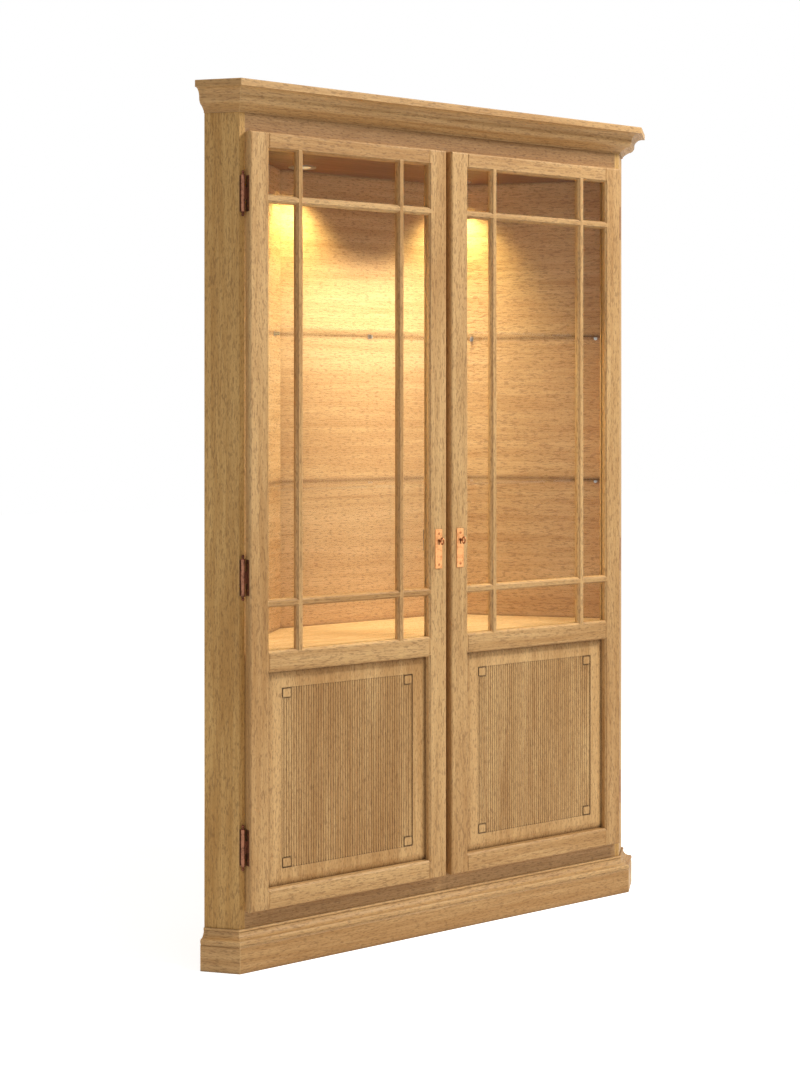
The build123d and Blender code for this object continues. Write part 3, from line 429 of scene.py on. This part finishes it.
def clear_glass(name, tint, reflection):
    """Thin clear glass: each face mirrors by Fresnel from outside only, so no slanting view goes black."""
    tree = Tree(name)
    smears = tree.noise(tree.stretched(SMEAR_STRETCH), SMEAR_SCALE)
    fresnel = tree.add("ShaderNodeFresnel")
    fresnel.inputs["IOR"].default_value = GLASS_INDEX
    backfacing = tree.add("ShaderNodeNewGeometry").outputs["Backfacing"]
    from_outside = tree.math("SUBTRACT", 1.0, backfacing)
    through = tree.add("ShaderNodeBsdfTransparent")
    through.inputs["Color"].default_value = tint
    mirror = tree.add("ShaderNodeBsdfGlossy")
    mirror.inputs["Color"].default_value = reflection
    tree.join(tree.ramp(smears, *SMEAR_RANGE, *SMEAR_ROUGHNESS), mirror.inputs["Roughness"])
    blend = tree.add("ShaderNodeMixShader")
    tree.join(tree.math("MULTIPLY", fresnel.outputs["Fac"], from_outside), blend.inputs["Fac"])
    tree.join(through.outputs["BSDF"], blend.inputs[1])
    tree.join(mirror.outputs["BSDF"], blend.inputs[2])
    return tree.show(blend.outputs["Shader"])


def lit_lens(name):
    """Frosted lens of a lamp that is on."""
    tree = Tree(name)
    cells = tree.noise(tree.stretched(EVEN), LENS_CELL_SCALE, **LENS_NOISE)
    shader = tree.add("ShaderNodeBsdfPrincipled")
    shader.inputs["Base Color"].default_value = LENS_COLOURS[1]
    shader.inputs["Roughness"].default_value = LENS_ROUGHNESS
    tree.join(tree.mix(tree.ramp(cells, *LENS_RANGE), *LENS_COLOURS), shader.inputs["Emission Color"])
    shader.inputs["Emission Strength"].default_value = LENS_GLOW
    return tree.show(shader.outputs["BSDF"])


def oak_tones(node, slot):
    """The tones of one oak node: reeded panels, recessed frame, returns, ceiling and inside differ."""
    if "ceiling" in node:
        return CEILING_OAK
    if slot == "oak_inside":
        return INSIDE_OAK
    if node in PANELS:
        return PANEL_OAK
    if node in FRONT_FRAME:
        return FRAME_OAK
    return RETURN_OAK if node.startswith("side_") else OAK


def shaded_alone(node):
    """Whether another body or a pane lies against the node at rest, so that neighbours mustn't darken it."""
    covered = ("side_", "stile", "rail", "board", "muntins", "beads")
    return node in FRONT_FRAME or any(word in node for word in covered)


def dress_cad():
    """Gives every CAD node a material for its slot in the record."""
    shared = {
        "glass": clear_glass("door_glass", DOOR_GLASS, DOOR_MIRROR),
        "lock_steel": steel("lock_steel", LOCK_STEEL, LOCK_ROUGHNESS),
        "lamp_metal": steel("lamp_metal", LAMP_STEEL, LAMP_ROUGHNESS),
        "lamp_lens": lit_lens("lamp_lens"),
        "copper": copper("plate_copper", PLATE_COPPER),
    }
    shelf_glass = clear_glass("shelf_glass", SHELF_GLASS, SHELF_MIRROR)
    knuckles = copper("knuckle_copper", KNUCKLE_COPPER)
    pins = copper("pin_copper", DARK_COPPER)
    keys = copper("key_copper", KEY_COPPER)
    special = {"glass_shelf_lower": shelf_glass, "glass_shelf_upper": shelf_glass, "hinge_pins": pins,
               "hinge_frame_leaves": knuckles, "door_left_hinge_leaves": knuckles,
               "door_right_hinge_leaves": knuckles, "key_left": keys, "key_right": keys}
    rows = sorted((row["node"], row["material_slot"]) for row in frame["record"]["subparts"])
    for index, (node, slot) in enumerate(rows):
        material = special.get(node) or shared.get(slot)
        if material is None:
            axis, turn = grain_of(node)
            material = oak("oak_" + node, axis, turn, index, oak_tones(node, slot), shaded_alone(node))
        mesh = frame["nodes"][node].data
        mesh.materials.clear()
        mesh.materials.append(material)


# Screws on the lock plates and door leaves

def screw_mesh(name, radius, rise):
    """Raised oval screw head with a sunk slot, its axis along -Y."""
    made = bmesh.new()
    loops = []
    for ring in range(SCREW_RINGS):
        turn = pi / 2 * ring / SCREW_RINGS
        circle = []
        for side in range(SCREW_SIDES):
            angle = 2 * pi * side / SCREW_SIDES
            x = radius * cos(turn) * cos(angle)
            z = radius * cos(turn) * sin(angle)
            in_slot = abs(z) < SLOT_WIDTH / 2
            depth = SLOT_DEPTH * sin(turn) if in_slot else 0.0
            circle.append(made.verts.new((x, depth - rise * sin(turn), z)))
        loops.append(circle)
    crown = made.verts.new((0.0, SLOT_DEPTH - rise, 0.0))
    for lower, upper in zip(loops, loops[1:]):
        for side in range(SCREW_SIDES):
            after = (side + 1) % SCREW_SIDES
            made.faces.new((lower[side], lower[after], upper[after], upper[side]))
    for side in range(SCREW_SIDES):
        made.faces.new((loops[-1][side], loops[-1][(side + 1) % SCREW_SIDES], crown))
    made.faces.new(list(reversed(loops[0])))
    bmesh.ops.recalc_face_normals(made, faces=made.faces)
    mesh = bpy.data.meshes.new(name)
    made.to_mesh(mesh)
    made.free()
    mesh.shade_smooth()
    return mesh


def place_screw(name, size, place, turn, body, material):
    """One screw on a body, turned about the vertical to face out of its plate."""
    mesh = screw_mesh(name, **size)
    mesh.materials.append(material)
    screw = bpy.data.objects.new(name, mesh)
    bpy.context.collection.objects.link(screw)
    screw.location = place
    screw.rotation_euler = (0.0, 0.0, turn)
    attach(screw, body)


def screws():
    """Two screws on each lock plate and on each of the six door leaves."""
    material = copper("screw_copper", SCREW_COPPER)
    for side, out in (("left", -1), ("right", 1)):
        body = f"door_{side}"
        low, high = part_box(body + "_escutcheon")
        middle = (low + high) / 2
        for end, shift in (("top", PLATE_SCREW_OFFSET), ("bottom", -PLATE_SCREW_OFFSET)):
            place = (middle.x, low.y, middle.z + shift)
            place_screw(f"plate_screw_{side}_{end}", PLATE_SCREW, place, 0.0, body, material)
        stile_low, stile_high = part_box(body + "_stile_hinge")
        edge = stile_low.x if out < 0 else stile_high.x
        row = (stile_low.y + stile_high.y) / 2
        for number, level in enumerate(hinge_levels()):
            for end, shift in (("top", LEAF_SCREW_OFFSET), ("bottom", -LEAF_SCREW_OFFSET)):
                place = (edge, row, level + shift)
                name = f"leaf_screw_{side}_{number}_{end}"
                place_screw(name, LEAF_SCREW, place, out * pi / 2, body, material)


def hinge_levels():
    """Middle levels of the three door leaves, from the gaps between their vertices."""
    vertices = frame["nodes"]["door_left_hinge_leaves"].data.vertices
    heights = sorted({round(vertex.co.z, LEVEL_DIGITS) for vertex in vertices})
    groups = [[heights[0]]]
    for height in heights[1:]:
        if height - groups[-1][-1] > LEAF_GAP:
            groups.append([])
        groups[-1].append(height)
    return [(group[0] + group[-1]) / 2 for group in groups]


# Studio

def page():
    """Pale page that shows near white to the camera and in mirrors, and keeps the object's shadow."""
    tree = Tree("page")
    grain = tree.noise(tree.stretched(EVEN), PAGE_NOISE_SCALE, **PAGE_NOISE)
    diffuse = tree.add("ShaderNodeBsdfDiffuse")
    tree.join(tree.mix(grain, *PAGE_COLOURS), diffuse.inputs["Color"])
    path = tree.add("ShaderNodeLightPath")
    seen = tree.math("ADD", path.outputs["Is Camera Ray"], path.outputs["Is Glossy Ray"])
    seen = tree.math("MINIMUM", tree.math("ADD", seen, path.outputs["Is Transmission Ray"]), 1.0)
    glow = tree.add("ShaderNodeEmission")
    glow.inputs["Color"].default_value = WHITE
    tree.join(tree.math("MULTIPLY", seen, PAGE_GLOW), glow.inputs["Strength"])
    both = tree.add("ShaderNodeAddShader")
    tree.join(diffuse.outputs["BSDF"], both.inputs[0])
    tree.join(glow.outputs["Emission"], both.inputs[1])
    return tree.show(both.outputs["Shader"])


def floor():
    """The page that the cabinet stands on."""
    bpy.ops.mesh.primitive_plane_add(size=PAGE_SIZE, location=(0.0, 0.0, -PAGE_DROP))
    sheet = bpy.context.object
    sheet.name = "floor"
    sheet.data.materials.append(page())


def world():
    """Plain soft light from all round; white where the camera or a mirror sees it."""
    scene_world = bpy.context.scene.world or bpy.data.worlds.new("world")
    bpy.context.scene.world = scene_world
    scene_world.use_nodes = True
    nodes = scene_world.node_tree.nodes
    links = scene_world.node_tree.links
    nodes.clear()
    lighting = nodes.new("ShaderNodeBackground")
    lighting.inputs["Strength"].default_value = WORLD_LEVEL
    shown = nodes.new("ShaderNodeBackground")
    shown.inputs["Strength"].default_value = 1.0
    for background in (lighting, shown):
        background.inputs["Color"].default_value = WHITE
    path = nodes.new("ShaderNodeLightPath")
    seen = nodes.new("ShaderNodeMath")
    seen.operation = "MAXIMUM"
    either = nodes.new("ShaderNodeMath")
    either.operation = "MAXIMUM"
    links.new(path.outputs["Is Camera Ray"], either.inputs[0])
    links.new(path.outputs["Is Glossy Ray"], either.inputs[1])
    links.new(either.outputs[0], seen.inputs[0])
    links.new(path.outputs["Is Transmission Ray"], seen.inputs[1])
    blend = nodes.new("ShaderNodeMixShader")
    links.new(seen.outputs[0], blend.inputs["Fac"])
    links.new(lighting.outputs[0], blend.inputs[1])
    links.new(shown.outputs[0], blend.inputs[2])
    output = nodes.new("ShaderNodeOutputWorld")
    links.new(blend.outputs[0], output.inputs["Surface"])


def place_lamp(name, data, place, target):
    """Puts a lamp in the scene, pointed at a place, and returns it."""
    lamp = bpy.data.objects.new(name, data)
    bpy.context.collection.objects.link(lamp)
    lamp.location = place
    lamp.rotation_mode = "QUATERNION"
    lamp.rotation_quaternion = (Vector(target) - Vector(place)).to_track_quat("-Z", "Y")
    return lamp


def studio_lamp(name, place, target, size, power, colour):
    """A square soft lamp."""
    data = bpy.data.lights.new(name, "AREA")
    data.shape = "SQUARE"
    data.size = size
    data.energy = power
    data.color = colour
    place_lamp(name, data, place, target)


def inner_lamps():
    """A warm downlight under each lens, and a soft light inside that stands for no lamp of the cabinet."""
    low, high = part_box("lamp_lenses")
    radius = (high.y - low.y) / 2
    row = (low.y + high.y) / 2
    level = low.z - DOWNLIGHT_DROP
    for side, x in (("left", low.x + radius), ("right", high.x - radius)):
        data = bpy.data.lights.new("downlight_" + side, "SPOT")
        data.energy = DOWNLIGHT_POWER
        data.color = DOWNLIGHT_COLOUR
        data.spot_size = radians(DOWNLIGHT_ANGLE)
        data.spot_blend = DOWNLIGHT_BLEND
        data.shadow_soft_size = DOWNLIGHT_RADIUS
        place_lamp("downlight_" + side, data, (x, row, level), (x, row, 0.0))
    glow = bpy.data.lights.new("inner_glow", "AREA")
    glow.shape = "RECTANGLE"
    glow.size, glow.size_y = GLOW_SIZE
    glow.energy = GLOW_POWER
    glow.color = GLOW_COLOUR
    glow.spread = radians(GLOW_SPREAD)
    middle = row - GLOW_FROM_ROW
    soft = place_lamp("inner_glow", glow, (0.0, middle, level - GLOW_DROP), (0.0, middle, 0.0))
    soft.visible_camera = False
    soft.visible_glossy = False


def camera():
    """The photograph's camera: level, with its horizon set by shift."""
    data = bpy.data.cameras.new("camera")
    data.sensor_width = SENSOR
    data.lens = FOCAL_PIXELS * SENSOR / FRAME_HEIGHT
    data.shift_y = (HORIZON_ROW - FRAME_HEIGHT / 2) / FRAME_HEIGHT
    data.clip_start = CLIP_START
    viewer = bpy.data.objects.new("camera", data)
    bpy.context.collection.objects.link(viewer)
    viewer.location = CAMERA_PLACE
    viewer.rotation_euler = (pi / 2, 0.0, -CAMERA_YAW)
    bpy.context.scene.camera = viewer


bpy.context.scene.view_settings.view_transform = "Standard"
camera()
dress_cad()
screws()
floor()
world()
studio_lamp("key", **KEY_LAMP)
studio_lamp("fill", **FILL_LAMP)
inner_lamps()
